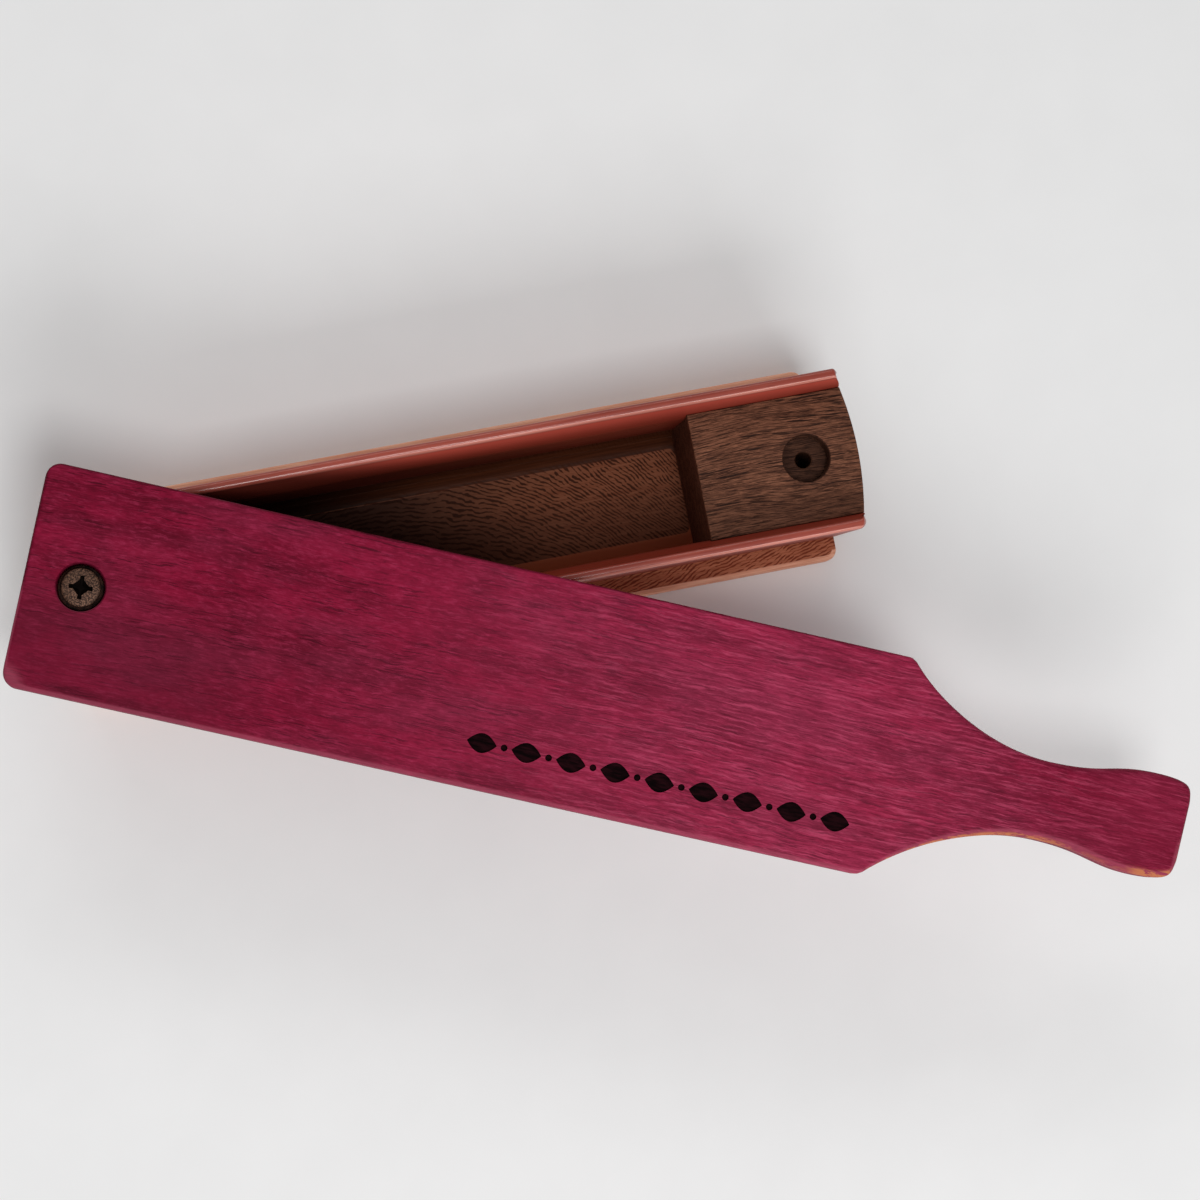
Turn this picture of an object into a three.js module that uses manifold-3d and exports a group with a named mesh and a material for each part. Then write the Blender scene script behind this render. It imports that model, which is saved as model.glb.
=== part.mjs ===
// Turkey box call: a narrow wooden sound box with a paddle that swings on one screw.
// Millimetres, +Z up. X runs along the box from the pivot screw to the free end.
// The origin is on the underside of the base board, straight below the pivot screw.

import * as THREE from 'three';
import { mergeVertices } from 'three/addons/utils/BufferGeometryUtils.js';
import Module from 'manifold-3d';

const wasm = await Module();
wasm.setup();

// ---------------------------------------------------------------- dimensions

// Base board: wider than the box, so it shows as a flange along both sides.
const BASE_START = -4.2;
const BASE_END = 165.7;
const BASE_HALF_WIDTH = 21.6;
const BASE_THICK = 5.5;
const BASE_CORNER = 2.5;
const BASE_EASE = 1.2;

// Shallow trough in the base board between the end blocks. Its coved sides rise
// above the board as two fillets against the side boards.
const TROUGH_FLOOR = 4.0;
const TROUGH_HALF_WIDTH = 9.6;
const TROUGH_SLOPE = 1.3;
const TROUGH_CORNER = 1.7;
const COVE_MID_HEIGHT = 7.0;
const COVE_AT_MID = 12.1;
const COVE_TOP = 9.5;
const COVE_FOOT = 1.0;

// Side boards: thick below, with a long bevel inside that thins them to the lip.
const SIDE_FOOT_OUTER = 16.6;
const LIP_TOP = 38.0;
const LIP_INNER = 15.4;
const LIP_OUTER = 17.5;
const LIP_ROUND = 0.8;
const LIP_ARCH = 0.8;
const LIP_END_RAKE = 3.1;
const LIP_RAKE_FOOT = 26.0;
const LIP_BEVEL_FOOT = 27.5;
const WALL_AT_BLOCK_TOP = 14.0;
const WALL_AT_BEVEL = 13.45;
const WALL_AT_FOOT = 13.3;

// End blocks: solid, set between the side boards.
const BLOCK_TOP = 30.0;
const FREE_BLOCK_INNER = 134.0;
const PIVOT_BLOCK_INNER = 24.0;

// Both ends of the box are bowed in plan across the blocks and the side boards.
const FREE_END_NOSE = 169.6;
const FREE_END_CORNER = 167.4;
const PIVOT_END_NOSE = -6.2;
const PIVOT_END_CORNER = -4.0;

// Spare pivot position in the free-end block.
const FREE_RECESS_AT = 158.0;
const FREE_RECESS_RADIUS = 5.2;
const FREE_RECESS_DEPTH = 4.0;
const FREE_PILOT_RADIUS = 1.8;
const FREE_PILOT_DEPTH = 18.0;

// Spring recess and screw hole in the pivot block.
const SPRING_RECESS_RADIUS = 4.2;
const SPRING_RECESS_DEPTH = 6.0;
const SCREW_HOLE_RADIUS = 2.1;
const SCREW_HOLE_FLOOR = 11.0;

// Paddle: flat on top, crowned underneath, with a waisted handle. Its hole lies a
// little to one side of its middle line.
const OPEN_ANGLE = -23.5;
const PADDLE_BOTTOM = 38.3;
const PADDLE_TOP = 47.5;
const PADDLE_START = -11.9;
const PADDLE_HALF_WIDTH = 23.65;
const PADDLE_CORNER = 3.2;
const PADDLE_EASE = 0.9;
const CROWN_RADIUS = 95.0;
const HOLE_OFF_CENTRE = 0.5;
const SHOULDER_AT = 172.7;
const WAIST_AT = 207.5;
const WAIST_HALF_WIDTH = 8.4;
const FLARE_AT = 230.0;
const FLARE_HALF_WIDTH = 11.1;
const PADDLE_END = 238.5;
const END_HALF_WIDTH = 8.2;

// Control points of the handle's side: [along the paddle, half-width].
const SHOULDER_PULL = [181.0, 15.0];
const WAIST_PULL_IN = [195.0, WAIST_HALF_WIDTH];
const WAIST_PULL_OUT = [219.7, WAIST_HALF_WIDTH];
const FLARE_PULL = [221.0, FLARE_HALF_WIDTH];
const END_PULL = [237.4, FLARE_HALF_WIDTH];
const COUNTERBORE_RADIUS = 5.0;
const COUNTERBORE_FLOOR = 42.9;
const COUNTERBORE_RIM = 5.3;
const COUNTERBORE_FLARE = 1.0;
const PADDLE_HOLE_RADIUS = 2.6;

// Pivot screw, its washer and the spring around its shank.
const HEAD_TOP = 46.7;
const HEAD_RADIUS = 4.1;
const HEAD_THICK = 2.3;
const HEAD_DOME = 0.5;
const SHANK_RADIUS = 2.0;
const SCREW_LENGTH = 34.0;
const SCREW_POINT = 5.0;
const WASHER_TOP = 44.3;
const WASHER_THICK = 1.0;
const WASHER_RADIUS = 4.8;
const WASHER_HOLE_RADIUS = 2.3;
const SPRING_RADIUS = 3.2;
const SPRING_WIRE = 0.45;
const SPRING_TURNS = 7;
const SPRING_GAP = 0.35;

// ------------------------------------------------------------------- looks

const material = (hex, roughness, metalness = 0) =>
  new THREE.MeshStandardMaterial({ color: hex, roughness, metalness });

const fleckedWood = material(0x9a6448, 0.55);
const coralWood = material(0xa4503f, 0.3);
const walnut = material(0x664333, 0.65);
const purpleWood = material(0x7a1736, 0.45);
const agedBrass = material(0x644a38, 0.5, 0.8);
const darkSteel = material(0x241c18, 0.5, 0.7);
const springSteel = material(0x8f8f8c, 0.35, 0.9);

// ----------------------------------------------------------- solid modelling

function toSolid(geometry) {
  const bare = geometry.clone();
  bare.deleteAttribute('normal');
  bare.deleteAttribute('uv');
  const merged = mergeVertices(bare, 1e-4);
  return new wasm.Manifold(new wasm.Mesh({
    numProp: 3,
    vertProperties: new Float32Array(merged.attributes.position.array),
    triVerts: new Uint32Array(merged.index.array),
  }));
}

function toGeometry(solid) {
  const mesh = solid.getMesh();
  const geometry = new THREE.BufferGeometry();
  geometry.setAttribute('position', new THREE.BufferAttribute(mesh.vertProperties, 3));
  geometry.setIndex(new THREE.BufferAttribute(mesh.triVerts, 1));
  geometry.computeVertexNormals();
  return geometry;
}

// A plan outline in X and Y, raised from one height to another.
function prism(shape, bottom, top, curveSegments = 8) {
  const geometry = new THREE.ExtrudeGeometry(shape, {
    depth: top - bottom,
    bevelEnabled: false,
    curveSegments,
  });
  return geometry.translate(0, 0, bottom);
}

// A plan outline whose top and bottom arrises are eased by the same amount.
function easedPrism(shape, bottom, top, ease, curveSegments = 8) {
  const geometry = new THREE.ExtrudeGeometry(shape, {
    depth: top - bottom - 2 * ease,
    bevelEnabled: true,
    bevelThickness: ease,
    bevelSize: ease,
    bevelOffset: -ease,
    bevelSegments: 2,
    curveSegments,
  });
  return geometry.translate(0, 0, bottom + ease);
}

// A cross-section in Y and Z, run along X.
function alongX(points, start, end) {
  const shape = new THREE.Shape(points.map(([y, z]) => new THREE.Vector2(y, z)));
  const geometry = new THREE.ExtrudeGeometry(shape, { depth: end - start, bevelEnabled: false });
  geometry.rotateX(Math.PI / 2);
  geometry.rotateZ(Math.PI / 2);
  return geometry.translate(start, 0, 0);
}

// An outline in X and Z, run across Y.
function acrossY(shape, halfWidth, curveSegments) {
  const geometry = new THREE.ExtrudeGeometry(shape, {
    depth: 2 * halfWidth,
    bevelEnabled: false,
    curveSegments,
  });
  geometry.rotateX(Math.PI / 2);
  return geometry.translate(0, halfWidth, 0);
}

function cylinder(radius, bottom, top, x = 0) {
  const geometry = new THREE.CylinderGeometry(radius, radius, top - bottom, 32);
  geometry.rotateX(Math.PI / 2);
  return geometry.translate(x, 0, (bottom + top) / 2);
}

// A profile of [radius, height] pairs turned round Z.
function turned(profile, segments = 32) {
  const geometry = new THREE.LatheGeometry(profile.map(([r, z]) => new THREE.Vector2(r, z)), segments);
  return geometry.rotateX(Math.PI / 2);
}

function roundedRectangle(x0, x1, y0, y1, r) {
  const shape = new THREE.Shape();
  shape.moveTo(x0 + r, y0);
  shape.lineTo(x1 - r, y0);
  shape.absarc(x1 - r, y0 + r, r, -Math.PI / 2, 0, false);
  shape.lineTo(x1, y1 - r);
  shape.absarc(x1 - r, y1 - r, r, 0, Math.PI / 2, false);
  shape.lineTo(x0 + r, y1);
  shape.absarc(x0 + r, y1 - r, r, Math.PI / 2, Math.PI, false);
  shape.lineTo(x0, y0 + r);
  shape.absarc(x0 + r, y0 + r, r, Math.PI, 1.5 * Math.PI, false);
  return shape;
}

const group = new THREE.Group();

function addPiece(parent, name, geometry, look) {
  const mesh = new THREE.Mesh(geometry, look);
  mesh.name = name;
  parent.add(mesh);
  return mesh;
}

// ------------------------------------------------------------------ the box

// Inner face of a side board, from the base board to the top of the end blocks.
const wallProfile = [
  [WALL_AT_FOOT, BASE_THICK],
  [WALL_AT_FOOT, COVE_TOP],
  [WALL_AT_BEVEL, LIP_BEVEL_FOOT],
  [WALL_AT_BLOCK_TOP, BLOCK_TOP],
];

function baseBoard() {
  const outline = roundedRectangle(BASE_START, BASE_END, -BASE_HALF_WIDTH, BASE_HALF_WIDTH, BASE_CORNER);
  const board = toSolid(easedPrism(outline, 0, BASE_THICK, BASE_EASE));
  const floor = roundedRectangle(
    PIVOT_BLOCK_INNER, FREE_BLOCK_INNER, -TROUGH_HALF_WIDTH, TROUGH_HALF_WIDTH, TROUGH_CORNER);
  const sloped = new THREE.ExtrudeGeometry(floor, {
    depth: 4,
    bevelEnabled: true,
    bevelThickness: BASE_THICK - TROUGH_FLOOR,
    bevelSize: TROUGH_SLOPE,
    bevelSegments: 1,
    curveSegments: 4,
  });
  sloped.translate(0, 0, BASE_THICK);
  const between = roundedRectangle(PIVOT_BLOCK_INNER, FREE_BLOCK_INNER, -LIP_OUTER, LIP_OUTER, 0.01);
  const trough = toSolid(sloped).intersect(toSolid(prism(between, 0, BASE_THICK, 1)));
  const edge = TROUGH_HALF_WIDTH + TROUGH_SLOPE;
  const fillet = [
    [edge, BASE_THICK - COVE_FOOT],
    [WALL_AT_FOOT, BASE_THICK - COVE_FOOT],
    [WALL_AT_FOOT, COVE_TOP],
    [COVE_AT_MID, COVE_MID_HEIGHT],
    [edge, BASE_THICK],
  ];
  const mirrored = fillet.map(([y, z]) => [-y, z]).reverse();
  return toGeometry(
    board
      .subtract(trough)
      .add(toSolid(alongX(fillet, PIVOT_BLOCK_INNER, FREE_BLOCK_INNER)))
      .add(toSolid(alongX(mirrored, PIVOT_BLOCK_INNER, FREE_BLOCK_INNER))));
}

// Rounding at one arris of the lip, angles in degrees.
function lipArris(y, startAngle, endAngle) {
  const steps = 3;
  return Array.from({ length: steps + 1 }, (_, i) => {
    const a = THREE.MathUtils.degToRad(startAngle + ((endAngle - startAngle) * i) / steps);
    return [y + LIP_ROUND * Math.cos(a), LIP_TOP - LIP_ROUND + LIP_ROUND * Math.sin(a)];
  });
}

// Plan of the box between its two bowed ends.
function boxPlan() {
  const w = LIP_OUTER;
  const plan = new THREE.Shape();
  plan.moveTo(PIVOT_END_CORNER, -w);
  plan.lineTo(FREE_END_CORNER, -w);
  plan.quadraticCurveTo(2 * FREE_END_NOSE - FREE_END_CORNER, 0, FREE_END_CORNER, w);
  plan.lineTo(PIVOT_END_CORNER, w);
  plan.quadraticCurveTo(2 * PIVOT_END_NOSE - PIVOT_END_CORNER, 0, PIVOT_END_CORNER, -w);
  return toSolid(prism(plan, 0, LIP_TOP + 2, 16));
}

// The lip rises in a very shallow arch and is raked back at its two ends.
function sideElevation() {
  const low = LIP_TOP - LIP_ARCH;
  const crown = LIP_TOP + LIP_ARCH;
  const start = PIVOT_END_NOSE;
  const end = FREE_END_NOSE;
  const shape = new THREE.Shape();
  shape.moveTo(start, 0);
  shape.lineTo(end, 0);
  shape.lineTo(end, LIP_RAKE_FOOT);
  shape.lineTo(end - LIP_END_RAKE, low);
  shape.quadraticCurveTo((start + end) / 2, crown, start + LIP_END_RAKE, low);
  shape.lineTo(start, LIP_RAKE_FOOT);
  return shape;
}

function sideBoard(side) {
  const section = [
    ...wallProfile,
    ...lipArris(LIP_INNER + LIP_ROUND, 180, 90),
    ...lipArris(LIP_OUTER - LIP_ROUND, 90, 0),
    [SIDE_FOOT_OUTER, BASE_THICK],
  ];
  const mirrored = section.map(([y, z]) => [side * y, z]);
  const board = alongX(side > 0 ? mirrored.reverse() : mirrored, PIVOT_END_NOSE - 1, FREE_END_NOSE + 1);
  return toGeometry(
    toSolid(board).intersect(boxPlan()).intersect(toSolid(acrossY(sideElevation(), 30, 12))));
}

function endBlock(inner, nose) {
  const right = wallProfile.map(([y, z]) => [y, z]);
  const left = wallProfile.map(([y, z]) => [-y, z]).reverse();
  const block = alongX([...right, ...left], Math.min(inner, nose), Math.max(inner, nose));
  return toSolid(block).intersect(boxPlan());
}

function freeEndBlock() {
  const mouth = BLOCK_TOP + 1;
  const recessFloor = BLOCK_TOP - FREE_RECESS_DEPTH;
  return toGeometry(
    endBlock(FREE_BLOCK_INNER, FREE_END_NOSE)
      .subtract(toSolid(cylinder(FREE_RECESS_RADIUS, recessFloor, mouth, FREE_RECESS_AT)))
      .subtract(toSolid(cylinder(FREE_PILOT_RADIUS, BLOCK_TOP - FREE_PILOT_DEPTH, mouth, FREE_RECESS_AT))));
}

function pivotEndBlock() {
  const mouth = BLOCK_TOP + 1;
  const recessFloor = BLOCK_TOP - SPRING_RECESS_DEPTH;
  return toGeometry(
    endBlock(PIVOT_BLOCK_INNER, PIVOT_END_NOSE)
      .subtract(toSolid(cylinder(SPRING_RECESS_RADIUS, recessFloor, mouth)))
      .subtract(toSolid(cylinder(SCREW_HOLE_RADIUS, SCREW_HOLE_FLOOR, mouth))));
}

addPiece(group, 'base_board', baseBoard(), fleckedWood);
addPiece(group, 'far_side_board', sideBoard(1), coralWood);
addPiece(group, 'near_side_board', sideBoard(-1), coralWood);
addPiece(group, 'pivot_end_block', pivotEndBlock(), walnut);
addPiece(group, 'free_end_block', freeEndBlock(), walnut);

// --------------------------------------------------------- screw and spring

function pivotScrew() {
  const headBottom = HEAD_TOP - HEAD_THICK;
  const tip = HEAD_TOP - SCREW_LENGTH;
  return turned([
    [0, tip],
    [SHANK_RADIUS, tip + SCREW_POINT],
    [SHANK_RADIUS, headBottom],
    [HEAD_RADIUS, headBottom],
    [HEAD_RADIUS, HEAD_TOP - HEAD_DOME],
    [HEAD_RADIUS - HEAD_DOME, HEAD_TOP],
    [0, HEAD_TOP],
  ]);
}

class Helix extends THREE.Curve {
  constructor(radius, bottom, top, turns) {
    super();
    Object.assign(this, { radius, bottom, top, turns });
  }

  getPoint(t, target = new THREE.Vector3()) {
    const a = 2 * Math.PI * this.turns * t;
    const z = this.bottom + (this.top - this.bottom) * t;
    return target.set(this.radius * Math.cos(a), this.radius * Math.sin(a), z);
  }
}

function pivotSpring() {
  const bottom = BLOCK_TOP - SPRING_RECESS_DEPTH + SPRING_WIRE + SPRING_GAP;
  const top = PADDLE_BOTTOM - SPRING_WIRE - SPRING_GAP;
  const wire = new THREE.Shape();
  wire.absarc(0, 0, SPRING_WIRE, 0, 2 * Math.PI, false);
  return new THREE.ExtrudeGeometry(wire, {
    steps: SPRING_TURNS * 14,
    curveSegments: 3,
    extrudePath: new Helix(SPRING_RADIUS, bottom, top, SPRING_TURNS),
  });
}

addPiece(group, 'pivot_screw', pivotScrew(), agedBrass);
addPiece(group, 'pivot_spring', toGeometry(toSolid(pivotSpring())), springSteel);

// ---------------------------------------------------------------- the paddle

const paddleGroup = new THREE.Group();
paddleGroup.rotation.z = THREE.MathUtils.degToRad(OPEN_ANGLE);
group.add(paddleGroup);

// One side of the handle as points, from the shoulder to the end.
function handleSide() {
  const path = new THREE.Path();
  path.moveTo(SHOULDER_AT, PADDLE_HALF_WIDTH);
  path.bezierCurveTo(...SHOULDER_PULL, ...WAIST_PULL_IN, WAIST_AT, WAIST_HALF_WIDTH);
  path.bezierCurveTo(...WAIST_PULL_OUT, ...FLARE_PULL, FLARE_AT, FLARE_HALF_WIDTH);
  path.quadraticCurveTo(...END_PULL, PADDLE_END, END_HALF_WIDTH);
  return path.getPoints(8);
}

function paddleOutline() {
  const w = PADDLE_HALF_WIDTH;
  const r = PADDLE_CORNER;
  const start = PADDLE_START;
  const side = handleSide();
  const shape = new THREE.Shape();
  shape.moveTo(start + r, -w);
  side.forEach((p) => shape.lineTo(p.x, -p.y));
  side.reverse().forEach((p) => shape.lineTo(p.x, p.y));
  shape.lineTo(start + r, w);
  shape.absarc(start + r, w - r, r, Math.PI / 2, Math.PI, false);
  shape.lineTo(start, -w + r);
  shape.absarc(start + r, -w + r, r, Math.PI, 1.5 * Math.PI, false);
  return shape;
}

// The underside is part of a large cylinder whose lowest line runs down the middle.
function crownSection() {
  const points = [[30, PADDLE_TOP + 1], [-30, PADDLE_TOP + 1]];
  const steps = 12;
  for (let i = 0; i <= steps; i += 1) {
    const y = -30 + (60 * i) / steps;
    points.push([y, PADDLE_BOTTOM + CROWN_RADIUS - Math.sqrt(CROWN_RADIUS ** 2 - y ** 2)]);
  }
  return points;
}

// Cutter for the stepped hole: a counterbore with a flared rim above a plain hole.
function paddleBore() {
  const rimSpread = COUNTERBORE_RIM - COUNTERBORE_RADIUS;
  return turned([
    [0, PADDLE_BOTTOM - 1],
    [PADDLE_HOLE_RADIUS, PADDLE_BOTTOM - 1],
    [PADDLE_HOLE_RADIUS, COUNTERBORE_FLOOR],
    [COUNTERBORE_RADIUS, COUNTERBORE_FLOOR],
    [COUNTERBORE_RADIUS, PADDLE_TOP - COUNTERBORE_FLARE],
    [COUNTERBORE_RIM + rimSpread, PADDLE_TOP + COUNTERBORE_FLARE],
    [0, PADDLE_TOP + COUNTERBORE_FLARE],
  ]);
}

function paddle() {
  const blank = toSolid(easedPrism(paddleOutline(), PADDLE_BOTTOM - 3, PADDLE_TOP, PADDLE_EASE, 8));
  const crown = toSolid(alongX(crownSection(), PADDLE_START - 5, PADDLE_END + 5));
  const board = blank.intersect(crown).translate([0, HOLE_OFF_CENTRE, 0]);
  return toGeometry(board.subtract(toSolid(paddleBore())));
}

function screwWasher() {
  const bottom = WASHER_TOP - WASHER_THICK;
  return turned([
    [WASHER_HOLE_RADIUS, bottom],
    [WASHER_RADIUS, bottom],
    [WASHER_RADIUS, WASHER_TOP],
    [WASHER_HOLE_RADIUS, WASHER_TOP],
    [WASHER_HOLE_RADIUS, bottom],
  ]);
}

addPiece(paddleGroup, 'paddle', paddle(), purpleWood);
addPiece(paddleGroup, 'screw_washer', screwWasher(), darkSteel);

export default group;
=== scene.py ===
"""Turkey box call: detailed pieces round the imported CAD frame, and a studio.

The call's lengths are millimetres and the studio's are metres. X runs along the box from the pivot,
Y across it towards the far side board, and Z up from its underside.
"""

import math

import bmesh
import bpy
from mathutils import Euler, Matrix, Vector, noise


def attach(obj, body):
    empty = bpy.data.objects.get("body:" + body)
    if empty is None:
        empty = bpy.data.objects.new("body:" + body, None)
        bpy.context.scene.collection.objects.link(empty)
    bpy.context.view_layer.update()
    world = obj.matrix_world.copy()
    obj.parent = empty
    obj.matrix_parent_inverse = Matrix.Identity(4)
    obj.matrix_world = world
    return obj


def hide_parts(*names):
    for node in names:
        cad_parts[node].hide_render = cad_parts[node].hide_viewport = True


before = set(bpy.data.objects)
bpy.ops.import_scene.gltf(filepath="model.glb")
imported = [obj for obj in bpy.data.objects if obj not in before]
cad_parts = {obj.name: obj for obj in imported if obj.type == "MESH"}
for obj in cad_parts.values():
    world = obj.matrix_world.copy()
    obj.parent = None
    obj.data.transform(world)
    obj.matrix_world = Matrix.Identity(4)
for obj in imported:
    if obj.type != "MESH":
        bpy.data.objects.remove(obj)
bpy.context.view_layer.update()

# ---------------------------------------------------------- driving dimensions

MM = 0.001
OPEN_ANGLE = math.radians(-23.5)

BASE_START, BASE_END, BASE_HALF, BASE_TOP = -4.2, 165.7, 21.6, 5.5
TROUGH_FLOOR, TROUGH_HALF, COVE_TOP, WALL_FOOT = 4.0, 9.6, 9.5, 13.3
LIP_TOP, LIP_INNER, LIP_OUTER, LIP_ROUND, LIP_ARCH = 38.0, 15.4, 17.5, 0.8, 0.8
LIP_END_RAKE, RAKE_FOOT = 3.1, 26.0

# Where each bowed end of the box lies: on its middle line, and at the lips' outer edge.
FREE_END = (169.6, 167.4)
PIVOT_END = (-6.2, -4.0)

PIVOT_BLOCK_END, FREE_BLOCK_START, SPARE_BORE_AT = 24.0, 134.0, 158.0
BLOCK_TOP, BLOCK_EASE, GLUE_GAP = 30.0, 0.3, 0.03

PADDLE_START, PADDLE_END, PADDLE_HALF = -11.9, 238.5, 23.65
HOLE_OFF_CENTRE, SHOULDER_SKEW, END_SKEW, FOOT_SKEW = 0.5, 1.1, 0.35, 0.3
PADDLE_TOP, PADDLE_LOW, CROWN = 47.5, 38.3, 95.0

SCREW_TOP, SCREW_TURN = 46.7, math.radians(-19.5)
WASHER_LOW, WASHER_HIGH = 43.3, 44.3

# ------------------------------------------------------------- node materials


def srgb(r, g, b):
    """An 8-bit display colour as linear RGBA."""

    def linear(c):
        c /= 255.0
        return c / 12.92 if c <= 0.04045 else ((c + 0.055) / 1.055) ** 2.4

    return (linear(r), linear(g), linear(b), 1.0)


class Look:
    """A material and short calls that add its nodes."""

    def __init__(self, name, roughness=0.5, metallic=0.0, gloss=0.5, coat_roughness=0.2):
        self.material = bpy.data.materials.new(name)
        self.material.use_nodes = True
        self.nodes = self.material.node_tree.nodes
        self.links = self.material.node_tree.links
        self.shader = self.nodes["Principled BSDF"]
        self.set("Roughness", roughness)
        self.set("Metallic", metallic)
        self.set("Coat Roughness", coat_roughness)
        self.set("Specular IOR Level", gloss)
        coordinates = self.nodes.new("ShaderNodeTexCoord").outputs
        self.place = coordinates["Object"]
        self.normal = coordinates["Normal"]

    def link(self, value, socket):
        """Feeds a socket from another socket or from a plain value."""
        if isinstance(value, bpy.types.NodeSocket):
            self.links.new(value, socket)
        else:
            socket.default_value = value

    def set(self, name, value):
        self.link(value, self.shader.inputs[name])

    def grain(self, cycles, detail, roughness, shift=0.0, source=None, distortion=0.0):
        """Noise with its own cycles per metre along each axis; shift makes it unlike the others."""
        mapping = self.nodes.new("ShaderNodeMapping")
        self.links.new(source or self.place, mapping.inputs["Vector"])
        mapping.inputs["Scale"].default_value = cycles
        mapping.inputs["Location"].default_value = (shift, shift * 0.7, shift * 1.3)
        texture = self.nodes.new("ShaderNodeTexNoise")
        self.links.new(mapping.outputs["Vector"], texture.inputs["Vector"])
        texture.inputs["Scale"].default_value = 1.0
        texture.inputs["Detail"].default_value = detail
        texture.inputs["Roughness"].default_value = roughness
        texture.inputs["Distortion"].default_value = distortion
        return texture.outputs["Fac"]

    def math(self, operation, a, b=0.0):
        node = self.nodes.new("ShaderNodeMath")
        node.operation = operation
        self.link(a, node.inputs[0])
        self.link(b, node.inputs[1])
        return node.outputs[0]

    def times(self, first, *others):
        for other in others:
            first = self.math("MULTIPLY", first, other)
        return first

    def plus(self, first, *others):
        for other in others:
            first = self.math("ADD", first, other)
        return first

    def minus(self, a, b):
        return self.math("SUBTRACT", a, b)

    def absolute(self, a):
        return self.math("ABSOLUTE", a)

    def larger(self, a, b):
        return self.math("MAXIMUM", a, b)

    def span(self, value, low, high, out_low=0.0, out_high=1.0):
        """value mapped smoothly from low..high to out_low..out_high."""
        node = self.nodes.new("ShaderNodeMapRange")
        node.interpolation_type = "SMOOTHSTEP"
        for part, socket in zip((value, low, high, out_low, out_high), node.inputs):
            self.link(part, socket)
        return node.outputs[0]

    def zone(self, coordinate, low, high, out_low=0.0, out_high=1.0):
        """span over a stretch of a coordinate, from low to high in millimetres."""
        return self.span(coordinate, low * MM, high * MM, out_low, out_high)

    def split(self, vector):
        node = self.nodes.new("ShaderNodeSeparateXYZ")
        self.links.new(vector, node.inputs[0])
        return node.outputs

    def join(self, x, y, z):
        node = self.nodes.new("ShaderNodeCombineXYZ")
        for value, socket in zip((x, y, z), node.inputs):
            self.link(value, socket)
        return node.outputs[0]

    def mix(self, amount, a, b, blend="MIX"):
        node = self.nodes.new("ShaderNodeMix")
        node.data_type = "RGBA"
        node.blend_type = blend
        self.link(amount, node.inputs["Factor"])
        colours = [s for s in node.inputs if s.type == "RGBA"]
        self.link(a, colours[0])
        self.link(b, colours[1])
        return next(s for s in node.outputs if s.type == "RGBA")

    def paint(self, colour, *coats):
        """colour with (amount, tint) coats laid over it in turn."""
        for amount, tint in coats:
            colour = self.mix(amount, colour, tint)
        return colour

    def bump(self, height, depth, strength=1.0):
        node = self.nodes.new("ShaderNodeBump")
        node.inputs["Distance"].default_value = depth * MM
        node.inputs["Strength"].default_value = strength
        self.link(height, node.inputs["Height"])
        self.links.new(node.outputs["Normal"], self.shader.inputs["Normal"])


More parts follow.
